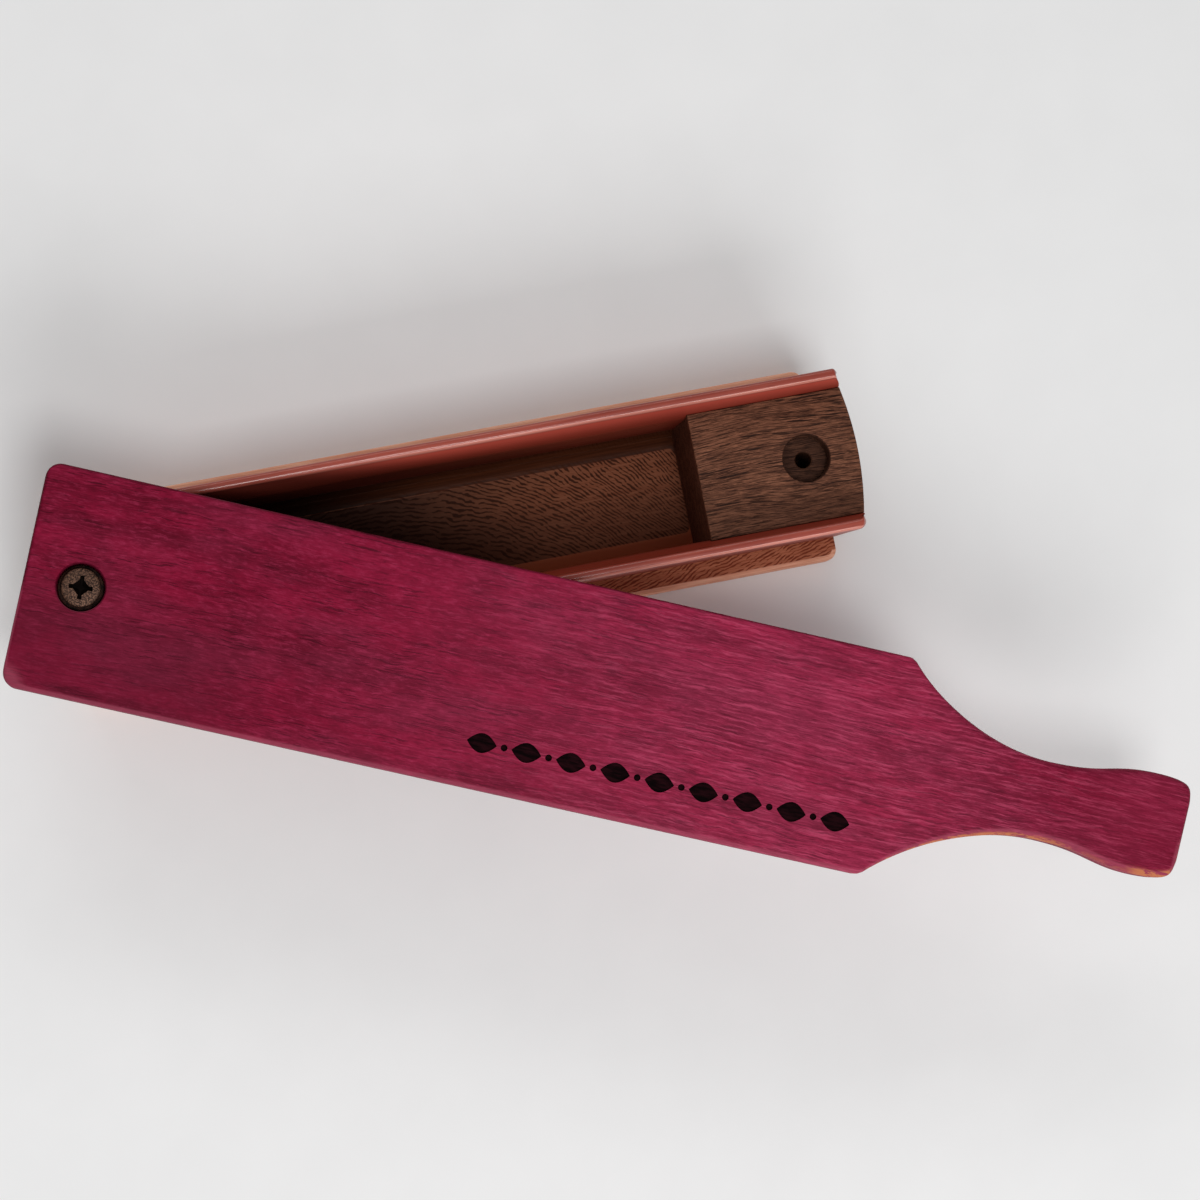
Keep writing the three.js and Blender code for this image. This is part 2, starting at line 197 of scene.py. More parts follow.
def purple_wood():
    """Purpleheart: crimson to mauve, finely mottled, with short dark pores along the grain."""
    look = Look("purple_wood", gloss=0.05)
    x, y, z = look.split(look.place)
    swell = look.grain((14, 22, 10), 1.0, 0.4, 1.0)
    ripple = look.grain((190, 260, 200), 3.0, 0.6, 6.0)
    sway = look.plus(look.times(swell, 4.0 * MM), look.times(ripple, 1.1 * MM))
    bent = look.join(x, look.plus(y, sway), z)
    bands = look.grain((14, 150, 90), 3.0, 0.6, source=bent)
    hue = look.grain((24, 70, 60), 3.0, 0.6, 11.0, bent)
    curl = look.grain((110, 170, 150), 4.0, 0.7, 5.0, bent)
    mottle = look.grain((420, 1500, 900), 4.0, 0.75, 13.0, bent)
    fibre = look.grain((210, 3600, 1500), 4.0, 0.75, 3.0, bent)
    streak = look.grain((120, 1800, 900), 4.0, 0.75, 15.0, bent)
    pores = look.grain((170, 3400, 1500), 2.0, 0.55, 7.0, bent)
    clusters = look.grain((45, 240, 100), 3.0, 0.6, 9.0, bent)
    tone = look.plus(look.times(bands, 0.55), look.times(curl, 0.45))
    dark = look.times(look.span(pores, 0.56, 0.63), look.span(clusters, 0.42, 0.6, 0.15, 1.0))
    colour = look.paint(
        look.mix(look.span(tone, 0.36, 0.64), srgb(94, 5, 30), srgb(134, 16, 50)),
        (look.span(hue, 0.42, 0.66, 0.0, 0.45), srgb(122, 34, 60)),
        (look.span(mottle, 0.48, 0.72, 0.0, 0.55), srgb(158, 44, 78)),
        (look.span(mottle, 0.28, 0.5, 0.5, 0.0), srgb(84, 6, 28)),
        (look.span(fibre, 0.52, 0.72, 0.0, 0.4), srgb(166, 50, 82)),
        (look.span(fibre, 0.3, 0.48, 0.45, 0.0), srgb(74, 5, 24)),
        (look.times(dark, 0.65), srgb(54, 4, 17)),
    )
    # Painted sheen: the paddle lighter from its middle to its shoulder, less so on the handle.
    painted_sheen = look.times(look.zone(x, 30, 150, 0.0, 0.36), look.zone(x, 180, 212, 1.0, 0.35))
    colour = look.mix(painted_sheen, colour, srgb(132, 52, 76), "ADD")
    handle_half = look.zone(x, 60, 140)
    dulled_foot = look.times(look.zone(x, 20, 50, 1.0, 0.0), look.zone(y, -12, 4, 0.4, 0.0))
    colour = look.paint(
        colour,
        (look.times(look.span(streak, 0.5, 0.66, 0.0, 0.6), handle_half), srgb(188, 72, 104)),
        (look.times(look.span(streak, 0.34, 0.5, 0.45, 0.0), handle_half), srgb(90, 12, 34)),
        (look.times(look.span(fibre, 0.34, 0.5, 0.5, 0.0), handle_half), srgb(84, 12, 32)),
        (look.zone(x, 196, 222, 0.0, 0.3), srgb(124, 16, 44)),
        (dulled_foot, srgb(82, 20, 38)),
    )
    look.set("Base Color", paddle_edges_wear_and_shading(look, colour))
    look.set("Roughness", look.span(fibre, 0.3, 0.75, 0.5, 0.62))
    look.bump(look.minus(look.times(fibre, 0.6), dark), 0.06, 0.6)
    return look.material


def paddle_edges_wear_and_shading(look, colour):
    """The paddle's upper edges: near one pale with a painted highlight, far one with painted shade,
    handle worn to orange wood.
    """
    x, y, z = look.split(look.place)
    near = look.zone(y, -5, 0, 1.0, 0.0)
    far = look.minus(1.0, near)
    arris = look.times(
        look.zone(z, PADDLE_TOP - 0.25, PADDLE_TOP - 0.02, 1.0, 0.0),
        look.zone(z, PADDLE_TOP - 3.5, PADDLE_TOP - 2.3),
    )
    # Painted shade along the far arris, fading out on the handle.
    far_painted_shade = look.times(far, look.zone(x, 160, 175, 0.45, 0.0))
    scuff = look.grain((260, 900, 600), 4.0, 0.7, 2.0)
    line = look.times(
        look.zone(z, PADDLE_TOP - 0.9, PADDLE_TOP - 0.3, 1.0, 0.0),
        look.zone(z, PADDLE_TOP - 3.1, PADDLE_TOP - 2.5),
    )
    line = look.times(line, look.times(look.zone(x, 168, 178), look.zone(x, 208, 218, 1.0, 0.25)))
    patch = look.times(
        look.zone(x, 226.5, 231),
        look.zone(y, -8.6, -7.2, 1.0, 0.0),
        look.zone(z, PADDLE_TOP - 2.5, PADDLE_TOP - 1.5),
        look.zone(z, PADDLE_TOP - 0.3, PADDLE_TOP, 1.0, 0.0),
    )
    bare = look.times(look.larger(line, patch), look.span(scuff, 0.42, 0.52))
    return look.paint(
        colour,
        # Painted highlight on the near arris and painted shade on the far arris; the bare orange line and
        # patch are worn wood.
        (look.times(arris, look.times(near, 0.4)), srgb(176, 84, 106)),
        (look.times(arris, far_painted_shade), srgb(58, 6, 20)),
        (look.times(bare, look.times(near, 0.85)), srgb(198, 122, 78)),
    )


def burnt_wood():
    """The charred floor and walls of the burnt band."""
    look = Look("burnt_wood", roughness=0.85, gloss=0.03)
    char = look.grain((300, 1500, 1500), 4.0, 0.6)
    look.set("Base Color", look.mix(look.span(char, 0.35, 0.7), srgb(9, 3, 4), srgb(34, 9, 14)))
    look.bump(char, 0.1)
    return look.material


def lacewood_dashes(look, x, y, beside):
    """Wavy broken dashes: bent rows in the trough, slanted rows on the flanges beside the box."""
    warp = look.grain((70, 70, 10), 2.0, 0.5)
    jog = look.grain((330, 330, 40), 2.0, 0.5, 4.0)
    run = look.minus(x, 70 * MM)
    bend = look.plus(look.times(look.times(run, run), 9.5), look.times(run, 0.1))
    inside = look.times(look.plus(y, bend), look.minus(1.0, beside))
    outside = look.times(look.minus(y, look.times(x, 0.38)), beside)
    phase = look.times(look.plus(inside, look.times(outside, 1.45)), 880.0)
    phase = look.plus(phase, look.times(warp, 4.2), look.times(jog, 1.8))
    wave = look.math("SINE", look.times(phase, 2 * math.pi))
    breaks = look.times(look.minus(look.grain((330, 760, 60), 2.0, 0.55, 9.0), 0.5), 5.0)
    return look.span(look.plus(wave, breaks), 0.1, 0.85)


def flecked_wood():
    """Lacewood: dark wavy dashes on the flat faces, plain wood on arrises, edges and coves, painted light
    and shade in the trough.
    """
    look = Look("flecked_wood", gloss=0.08)
    x, y, z = look.split(look.place)
    off = look.absolute(y)
    beside = look.zone(off, 15.0, 15.2)
    dashes = lacewood_dashes(look, x, y, beside)

    facing = look.split(look.normal)[2]
    lifted = look.zone(z, 2.8, 3.4)
    trough = look.times(look.zone(off, TROUGH_HALF - 0.2, TROUGH_HALF + 0.2, 1.0, 0.0), lifted)
    above = look.times(beside, look.zone(z, BASE_TOP - 0.3, BASE_TOP - 0.1))
    flange = look.times(beside, look.zone(off, 19.2, 19.6, 1.0, 0.0))
    open_face = look.larger(look.span(facing, 0.985, 0.998), flange)
    flecked = look.times(open_face, look.larger(trough, above))
    flecked = look.larger(flecked, look.times(flange, look.zone(z, 3.5, 4.2)))
    flecked = look.larger(flecked, look.span(facing, -0.998, -0.985, 1.0, 0.0))

    fine = look.grain((70, 2600, 2600), 3.0, 0.6, 6.0)
    tone = look.grain((12, 60, 60), 2.0, 0.5, 8.0)
    ground = look.mix(look.span(fine, 0.3, 0.7), srgb(162, 89, 61), srgb(192, 118, 86))
    ground = look.mix(look.span(tone, 0.4, 0.65, 0.0, 0.4), ground, srgb(200, 128, 94))
    # The trough's floor, darker than the flanges, with painted shadow of the near side board on its near
    # half and painted shadow of the paddle towards the pivot.
    floor = look.paint(
        look.mix(0.5, ground, srgb(102, 56, 30)),
        (look.times(dashes, 0.85), srgb(50, 22, 11)),
        (look.zone(y, -3, 6, 0.5, 0.0), srgb(66, 32, 17)),
        (look.zone(x, 62, 118, 0.9, 0.0), srgb(46, 19, 10)),
    )
    fleck = look.paint(ground, (look.times(dashes, 0.85), srgb(112, 44, 27)), (trough, floor))
    # The coves: plain wood darkened as painted shade, with painted light along the near one and painted
    # shadow of the paddle towards the pivot.
    cove_shading = look.mix(look.span(fine, 0.35, 0.7), srgb(68, 33, 18), srgb(88, 46, 27))
    near_cove = look.times(look.zone(y, -2, 0, 1.0, 0.0), look.zone(x, 70, 100))
    cove_shading = look.paint(
        cove_shading,
        (near_cove, srgb(168, 86, 56)),
        (look.zone(x, 50, 90, 0.75, 0.0), srgb(24, 9, 5)),
    )
    cavity = look.times(
        look.zone(x, PIVOT_BLOCK_END - 0.6, PIVOT_BLOCK_END - 0.1),
        look.zone(x, FREE_BLOCK_START + 0.1, FREE_BLOCK_START + 0.6, 1.0, 0.0),
        lifted,
    )
    plain = look.mix(look.span(fine, 0.35, 0.7), srgb(222, 150, 120), srgb(246, 188, 158))
    plain = look.mix(look.times(cavity, look.zone(off, 14.8, 15.2, 1.0, 0.0)), plain, cove_shading)
    look.set("Base Color", look.mix(flecked, plain, fleck))
    look.set("Roughness", look.span(dashes, 0.0, 1.0, 0.5, 0.65))
    look.bump(look.minus(look.times(fine, 0.4), look.times(dashes, flecked)), 0.05, 0.5)
    return look.material


def coral_wood():
    """The side boards: close-grained coral-red wood, lacquered on the lips and bare inside, with painted
    highlights and shade.
    """
    look = Look("coral_wood", coat_roughness=0.16, gloss=0.12)
    x, y, z = look.split(look.place)
    off = look.absolute(y)
    fine = look.grain((45, 1900, 1900), 4.0, 0.6)
    bands = look.grain((8, 150, 150), 3.0, 0.55, 2.0, distortion=0.3)
    pores = look.grain((200, 4200, 4200), 2.0, 0.5, 5.0)
    dark = look.span(pores, 0.58, 0.72, 0.0, 0.4)

    inner = look.times(
        look.zone(off, LIP_INNER - 0.2, LIP_INNER + 0.2, 1.0, 0.0),
        look.zone(z, LIP_TOP - 1.5, LIP_TOP - 0.2, 1.0, 0.0),
    )
    # Painted light and shade down the inner faces: lighter towards the lip, darker lower down and on the
    # near board, with painted shadow of the paddle towards the pivot.
    bevel = look.paint(
        look.mix(look.zone(z, 28.5, 36.8), srgb(112, 36, 24), srgb(196, 82, 68)),
        (look.zone(y, -1, 1, 1.0, 0.0), srgb(140, 48, 32)),
        (look.zone(x, 45, 80, 0.75, 0.0), srgb(58, 20, 13)),
    )
    # Painted shade low on the inner faces, weaker towards the free end.
    deep_shade = look.times(inner, look.zone(x, 92, 116, 1.0, 0.6), look.zone(z, 26.2, 30, 1.0, 0.0))

    # Painted highlights on the lip arrises that face the front light: the far lip's inner one, faint
    # towards the pivot where the paddle shades it, and the near lip's outer one.
    far_highlight = look.zone(look.absolute(look.minus(off, 15.6 * MM)), 0.2, 0.4, 1.0, 0.0)
    near_highlight = look.zone(look.absolute(look.minus(off, 17.3 * MM)), 0.2, 0.4, 1.0, 0.0)
    far_highlight = look.times(far_highlight, look.zone(x, 38, 85, 0.15, 1.0))
    lip_highlight = look.mix(look.math("GREATER_THAN", y, 0.0), near_highlight, far_highlight)
    lip_highlight = look.times(
        lip_highlight,
        look.zone(z, LIP_TOP - 1.8, LIP_TOP - 1.2),
        look.span(fine, 0.3, 0.55, 0.35, 0.6),
    )
    colour = look.paint(
        look.mix(look.span(bands, 0.35, 0.65), srgb(136, 54, 42), srgb(158, 70, 56)),
        (look.span(fine, 0.4, 0.75, 0.0, 0.4), srgb(182, 92, 74)),
        (dark, srgb(96, 30, 22)),
        (look.times(inner, 0.75), bevel),
        (look.times(deep_shade, 0.7), srgb(82, 30, 17)),
        (lip_highlight, srgb(232, 156, 140)),
    )
    look.set("Base Color", colour)
    look.set("Coat Weight", look.zone(z, LIP_TOP - 2.5, LIP_TOP - 1.4, 0.0, 0.65))
    look.set("Roughness", look.span(fine, 0.3, 0.7, 0.34, 0.46))
    look.bump(look.minus(look.times(fine, 0.4), dark), 0.03, 0.5)
    return look.material


def walnut(name="walnut", shade=0.0):
    """Walnut: reddish brown, dense short dark pores along the grain, darker speckled end grain, painted
    shade by the near board.
    """
    look = Look(name, gloss=0.1)
    x, y, z = look.split(look.place)
    wander = look.grain((18, 45, 45), 2.0, 0.5)
    bent = look.join(x, look.plus(y, look.times(wander, 8 * MM)), z)
    rings = look.grain((12, 420, 300), 3.0, 0.65, source=bent)
    mottle = look.grain((140, 600, 400), 3.0, 0.6, 6.0, bent)
    fine = look.grain((420, 5200, 4000), 4.0, 0.75, 5.0, bent)
    pores = look.grain((210, 4600, 3000), 2.0, 0.6, 3.0, bent)
    dashes = look.grain((140, 2900, 2000), 2.0, 0.6, 4.0, bent)
    clusters = look.grain((40, 300, 200), 2.0, 0.5, 9.0, bent)
    speck = look.grain((900, 900, 900), 2.0, 0.6, 1.0)
    tone = look.plus(look.times(rings, 0.55), look.times(mottle, 0.45))
    gate = look.span(clusters, 0.4, 0.6, 0.2, 1.0)
    long_pores = look.times(look.span(dashes, 0.54, 0.6, 0.0, 0.95), gate)
    dark = look.larger(look.span(pores, 0.53, 0.6, 0.0, 0.8), long_pores)
    end_grain = look.mix(look.span(speck, 0.45, 0.6), srgb(82, 46, 32), srgb(112, 70, 52))
    on_end = look.span(look.absolute(look.split(look.normal)[0]), 0.75, 0.92, 0.0, 0.7)
    colour = look.paint(
        look.mix(look.span(tone, 0.38, 0.62), srgb(92, 56, 41), srgb(122, 78, 58)),
        (look.span(fine, 0.5, 0.68, 0.0, 0.75), srgb(156, 104, 78)),
        (look.span(fine, 0.32, 0.5, 0.8, 0.0), srgb(52, 30, 21)),
        # Painted shade: darker towards the near side board.
        (look.zone(y, -14, -2, 0.35, 0.0), srgb(62, 38, 28)),
        (dark, srgb(32, 16, 11)),
        (on_end, end_grain),
        # shade darkens all of it as painted shade.
        (shade, srgb(26, 12, 8)),
    )
    look.set("Base Color", colour)
    look.set("Roughness", look.span(pores, 0.3, 0.7, 0.55, 0.75))
    look.bump(look.minus(look.times(fine, 0.3), dark), 0.06, 0.6)
    return look.material


def aged_brass():
    """The screw head: pitted antique finish, darker in the pits, brighter where worn, its sunk rim in
    painted shade.
    """
    look = Look("aged_brass", metallic=0.45, gloss=0.3)
    z = look.split(look.place)[2]
    pits = look.grain((2900, 2900, 2900), 4.0, 0.7)
    stain = look.grain((420, 420, 420), 3.0, 0.6, 3.0)
    colour = look.mix(look.span(pits, 0.44, 0.6), srgb(44, 27, 20), srgb(116, 84, 66))
    colour = look.mix(look.span(stain, 0.45, 0.7, 0.0, 0.5), colour, srgb(84, 60, 50))
    # Painted shade: the head's rim, below its dome and down in the counterbore, near black.
    colour = look.mix(look.zone(z, SCREW_TOP - 1.1, SCREW_TOP - 0.4), srgb(16, 10, 8), colour)
    look.set("Base Color", colour)
    look.set("Roughness", look.span(pits, 0.3, 0.7, 0.66, 0.46))
    look.bump(pits, 0.08, 0.7)
    return look.material


def recess_shade_steel():
    """The inside of the screw's driver recess, near black as painted shade."""
    look = Look("recess_shade_steel", roughness=0.75, metallic=0.1, gloss=0.05)
    recess_speckle = look.grain((900, 900, 900), 3.0, 0.6)
    look.set("Base Color", look.mix(recess_speckle, srgb(8, 4, 3), srgb(20, 12, 9)))
    look.bump(recess_speckle, 0.05)
    return look.material


def dark_steel():
    """The washer: dull steel, near black to brown, as painted shade down in the counterbore."""
    look = Look("dark_steel", metallic=0.25, gloss=0.15)
    washer_mottle = look.grain((700, 700, 700), 4.0, 0.6)
    look.set("Base Color", look.mix(look.span(washer_mottle, 0.35, 0.65), srgb(20, 10, 7), srgb(58, 29, 18)))
    look.set("Roughness", look.span(washer_mottle, 0.3, 0.7, 0.65, 0.5))
    look.bump(washer_mottle, 0.05)
    return look.material


def spring_steel():
    """The spring: bright drawn wire."""
    look = Look("spring_steel", metallic=1.0)
    drawn = look.grain((1200, 1200, 3000), 3.0, 0.5)
    look.set("Base Color", look.mix(drawn, srgb(128, 126, 122), srgb(176, 174, 170)))
    look.set("Roughness", look.span(drawn, 0.3, 0.7, 0.28, 0.42))
    look.bump(drawn, 0.02, 0.5)
    return look.material


PURPLE = purple_wood()
BURNT = burnt_wood()
FLECKED = flecked_wood()
CORAL = coral_wood()
WALNUT = walnut()
# A darker copy of walnut, as painted shade for the bores.
BORE_SHADE_WALNUT = walnut("bore_shade_walnut", 0.6)
BRASS = aged_brass()
RECESS_SHADE = recess_shade_steel()
WASHER_SHADE = dark_steel()
SPRING = spring_steel()

# ------------------------------------------------------------------ modelling


def mesh_object(name, solid, material, turn=0.0, sharp=35):
    """An object from a solid in millimetres, turned about Z, with smooth faces and sharp creases."""
    vertices, faces = solid
    mesh = bpy.data.meshes.new(name)
    mesh.from_pydata([Vector(v) * MM for v in vertices], [], faces)
    bm = bmesh.new()
    bm.from_mesh(mesh)
    bmesh.ops.recalc_face_normals(bm, faces=bm.faces)
    bm.to_mesh(mesh)
    bm.free()
    mesh.materials.append(material)
    smooth(mesh, sharp)
    obj = bpy.data.objects.new(name, mesh)
    obj.rotation_euler = (0, 0, turn)
    bpy.context.scene.collection.objects.link(obj)
    bpy.context.view_layer.update()
    return obj


def smooth(mesh, sharp):
    """Smooth shading, with creases kept where faces meet at more than sharp degrees."""
    for face in mesh.polygons:
        face.use_smooth = True
    mesh.set_sharp_from_angle(angle=math.radians(sharp))


def skin(rings):
    """Vertices and faces of a closed solid through equal rings, capped at both ends."""
    count = len(rings[0])
    vertices = [point for ring in rings for point in ring]
    faces = []
    for r in range(len(rings) - 1):
        a, b = r * count, (r + 1) * count
        for i in range(count):
            j = (i + 1) % count
            faces.append((a + i, a + j, b + j, b + i))
    faces.append(tuple(range(count)))
    last = (len(rings) - 1) * count
    faces.append(tuple(last + i for i in range(count)))
    return vertices, faces


def lathe(profile, segments=64, centre=(0.0, 0.0)):
    """Vertices and faces of a turned [radius, height] profile that starts and ends on its axis."""
    vertices = []
    rows = []
    for radius, z in profile:
        if radius == 0:
            rows.append([len(vertices)] * segments)
            vertices.append((centre[0], centre[1], z))
            continue
        rows.append(list(range(len(vertices), len(vertices) + segments)))
        for i in range(segments):
            a = 2 * math.pi * i / segments
            x = centre[0] + radius * math.cos(a)
            vertices.append((x, centre[1] + radius * math.sin(a), z))
    faces = []
    for low, high in zip(rows, rows[1:]):
        for i in range(segments):
            j = (i + 1) % segments
            corner = (low[i], low[j], high[j], high[i])
            face = tuple(dict.fromkeys(corner))
            if len(face) > 2:
                faces.append(face)
    return vertices, faces


def merged(*solids):
    """Several closed solids as one list of vertices and faces."""
    vertices, faces = [], []
    for some_vertices, some_faces in solids:
        start = len(vertices)
        vertices += some_vertices
        faces += [tuple(start + i for i in face) for face in some_faces]
    return vertices, faces


def settle(obj):
    """Applies the object's modifiers to its mesh."""
    graph = bpy.context.evaluated_depsgraph_get()
    mesh = bpy.data.meshes.new_from_object(obj.evaluated_get(graph), depsgraph=graph)
    obj.modifiers.clear()
    obj.data = mesh


def carve(obj, solid, material, turn=0.0, sharp=35):
    """Cuts a closed solid out of obj; the cut faces take the given material."""
    cutter = mesh_object("cutter", solid, material, turn)
    modifier = obj.modifiers.new("cut", "BOOLEAN")
    modifier.operation = "DIFFERENCE"
    modifier.solver = "EXACT"
    modifier.material_mode = "TRANSFER"
    modifier.object = cutter
    settle(obj)
    bpy.data.objects.remove(cutter)
    smooth(obj.data, sharp)


def install(obj, body, slot, *nodes):
    """Fixes obj to a body of the frame, in place of some of its nodes; the slot argument is not used."""
    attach(obj, body)
    if nodes:
        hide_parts(*nodes)


def arc(cx, cy, r, start, end, steps):
    """Points on an arc, angles in degrees."""
    points = []
    for i in range(steps + 1):
        a = math.radians(start + (end - start) * i / steps)
        points.append((cx + r * math.cos(a), cy + r * math.sin(a)))
    return points


def quarter(radius, gap):
    """Depth of a quarter-round of a radius at a distance inside its edge."""
    return radius - math.sqrt(max(radius**2 - max(radius - gap, 0) ** 2, 0))


def rounded_rectangle(x0, x1, half, r, inset=0.0, steps=8):
    """Points round a rectangle from x0 to x1 with corners of radius r, all moved in by inset."""
    x0, x1, half, r = x0 + inset, x1 - inset, half - inset, max(r - inset, 0.05)
    return (
        arc(x1 - r, -half + r, r, -90, 0, steps)
        + arc(x1 - r, half - r, r, 0, 90, steps)
        + arc(x0 + r, half - r, r, 90, 180, steps)
        + arc(x0 + r, -half + r, r, 180, 270, steps)
    )


def wobble(x, y, z, size, seed, amount):
    """A small smooth unevenness, in millimetres."""
    return amount * noise.noise(Vector((x / size, y / size, z / size + seed)))


# ------------------------------------------------------------------ base board


def base_board():
    """The board with its coved trough cut in, and the coves that rise past it up the side boards."""
    foot_ease, top_ease, corner, steps = 0.6, 1.2, 2.5, 5

    def level(inset, z):
        outline = rounded_rectangle(BASE_START, BASE_END, BASE_HALF, corner, inset)
        return [(x, y, z) for x, y in outline]

    turns = [math.pi / 2 * i / steps for i in range(steps + 1)]
    rings = [level(foot_ease * (1 - math.sin(a)), foot_ease * (1 - math.cos(a))) for a in turns]
    rings += [level(top_ease * (1 - math.cos(a)), BASE_TOP - top_ease * (1 - math.sin(a))) for a in turns]
    board = mesh_object("base_board_wood", skin(rings), FLECKED)
    trough = []
    for half, z in cove_curve():
        spread = half - TROUGH_HALF
        start, end = PIVOT_BLOCK_END - spread, FREE_BLOCK_START + spread
        trough.append([(x, y, z) for x, y in rounded_rectangle(start, end, half, 1.8 + spread)])
    trough.append([(x, y, COVE_TOP + 1) for x, y, z in trough[-1]])
    carve(board, skin(trough), FLECKED)
    install(board, "sound_box", "flecked_wood", "base_board")
    for side, name in ((1, "far_cove"), (-1, "near_cove")):
        curve = [(y, z) for y, z in cove_curve() if z >= BASE_TOP - 0.3]
        back = WALL_FOOT - 0.02
        section = curve + [(back, COVE_TOP), (back, curve[0][1])]
        stations = (PIVOT_BLOCK_END, 60, 97, FREE_BLOCK_START)
        rings = [[(x, side * y, z) for y, z in section] for x in stations]
        strip = mesh_object(name, skin(rings), FLECKED, sharp=50)
        install(strip, "sound_box", "flecked_wood")


def cove_curve():
    """Half-width and height up the trough's coved side."""
    points = []
    for i in range(13):
        a = math.radians(90 * i / 12)
        points.append((
            TROUGH_HALF + (WALL_FOOT - TROUGH_HALF) * math.sin(a),
            TROUGH_FLOOR + (COVE_TOP - TROUGH_FLOOR) * (1 - math.cos(a)),
        ))
    return points


# ----------------------------------------------------------------- side boards


def bowed_end(end, y):
    """Where the bowed end of the box lies at a distance from its middle line."""
    nose, corner = end
    return nose + (corner - nose) * (y / LIP_OUTER) ** 2


def raked(z):
    """How far an end of the lip is raked back at a height."""
    return LIP_END_RAKE * min(1.0, max(0.0, (z - RAKE_FOOT) / (LIP_TOP - RAKE_FOOT)))


def side_section():
    """Half-widths and heights round a side board: thick foot, inner bevel, rounded lip."""
    inner = [(WALL_FOOT, BASE_TOP), (WALL_FOOT, COVE_TOP)]
    inner += [(13.38, 18.0), (13.44, 26.6), (13.48, 27.4), (13.58, 28.1)]
    inner += [(14.0, 30.2), (14.55, 33.0), (15.05, 35.4), (15.33, 36.7)]
    lip = arc(LIP_INNER + LIP_ROUND, LIP_TOP - LIP_ROUND, LIP_ROUND, 180, 90, 8)
    lip += [((LIP_INNER + LIP_OUTER) / 2, LIP_TOP + 0.02)]
    lip += arc(LIP_OUTER - LIP_ROUND, LIP_TOP - LIP_ROUND, LIP_ROUND, 90, 0, 8)
    outer = [(17.46, 34.8), (17.33, 30.0), (17.13, 24.0), (16.88, 15.0), (16.6, BASE_TOP)]
    return inner + lip + outer


def stations_along(length):
    """Places from 0 to 1 along a board, crowded towards its ends to round them."""
    reach = [0, 0.04, 0.12, 0.25, 0.4, 0.6, 0.8, 1.1, 1.4, 1.8, 2.4]
    margin, spans = 3.5, 56
    middle = [margin + (length - 2 * margin) * i / spans for i in range(spans + 1)]
    ends = [gap / length for gap in reach]
    return ends + [x / length for x in middle] + [1 - gap for gap in reversed(ends)]


def side_board(name, node, side, corner):
    """One side board, on side 1 or -1, with its outer arris rounded by corner at the ends."""
    section, length = side_section(), 170
    rings = []
    for t in stations_along(length):
        gap = length * min(t, 1 - t)
        arch = LIP_ARCH * (4 * t * (1 - t) - 1)
        ring = []
        for y, z in section:
            rise = (z - BASE_TOP) / (LIP_TOP - BASE_TOP)
            start = max(bowed_end(PIVOT_END, y), PIVOT_END[0] + raked(z))
            end = min(bowed_end(FREE_END, y), FREE_END[0] - raked(z))
            x = start + (end - start) * t
            across = min(1.0, max(0.0, (y - WALL_FOOT) / (LIP_OUTER - WALL_FOOT)))
            width = y + quarter(0.3, gap) * (1 - across) - quarter(corner, gap) * across
            width += wobble(x, y, z, 28, side * 5, 0.12) * rise
            drop = quarter(0.5, gap) * max(0.0, (z - (LIP_TOP - 2)) / 2)
            ring.append((x, side * width, z + arch * rise - drop))
        rings.append(ring)
    board = mesh_object(name, skin(rings), CORAL, sharp=38)
    install(board, "sound_box", "coral_wood", node)


# ------------------------------------------------------------------ end blocks


def wall_at(z):
    """Half-width between the side boards at a height: upright, slightly flared, then bevelled."""
    bevel_foot, flare, bevel = 27.5, 0.15, 0.55
    if z < COVE_TOP:
        return WALL_FOOT
    if z < bevel_foot:
        return WALL_FOOT + flare * (z - COVE_TOP) / (bevel_foot - COVE_TOP)
    return WALL_FOOT + flare + bevel * (z - bevel_foot) / (BLOCK_TOP - bevel_foot)


def end_block(name, node, inner, end, bore, bore_at):
    """A block between the side boards with a flat inner end, a bowed outer end and a bore."""
    out = 1 if end[0] > inner else -1
    ease_foot = BLOCK_TOP - BLOCK_EASE
    levels = [BASE_TOP, COVE_TOP, 15.0, 21.0, 27.5, 28.7]
    levels += [ease_foot, BLOCK_TOP - 0.14, BLOCK_TOP - 0.05, BLOCK_TOP]
    rings = []
    for z in levels:
        ease = max(0.0, z - ease_foot)
        inset = BLOCK_EASE - math.sqrt(max(BLOCK_EASE**2 - ease**2, 0))
        half = wall_at(min(z, ease_foot)) - GLUE_GAP - inset
        ring = [(inner + out * inset, -half + 2 * half * i / 8, z) for i in range(9)]
        for i in range(25):
            y = half - 2 * half * i / 24
            ring.append((bowed_end(end, y) - out * inset, y, z))
        rings.append(ring)
    block = mesh_object(name, skin(rings), WALNUT, sharp=40)
    # The bore's faces take the darker copy, as painted shade.
    carve(block, lathe(bore, 72, (bore_at, 0.0)), BORE_SHADE_WALNUT, sharp=40)
    install(block, "sound_box", "walnut", node)


def stepped_bore(recess, depth, pilot, pilot_depth):
    """A flat-bottomed recess with a pilot hole that ends in a drill point."""
    floor = BLOCK_TOP - depth
    return [
        (0, BLOCK_TOP - pilot_depth - 1.0),
        (pilot, BLOCK_TOP - pilot_depth),
        (pilot, floor - 0.25),
        (pilot + 0.25, floor),
        (recess - 0.25, floor),
        (recess - 0.12, floor - 0.12),
        (recess, floor),
        (recess, BLOCK_TOP - 0.2),
        (recess + 0.2, BLOCK_TOP),
        (recess + 0.2, BLOCK_TOP + 2),
        (0, BLOCK_TOP + 2),
    ]


# ---------------------------------------------------------------------- paddle


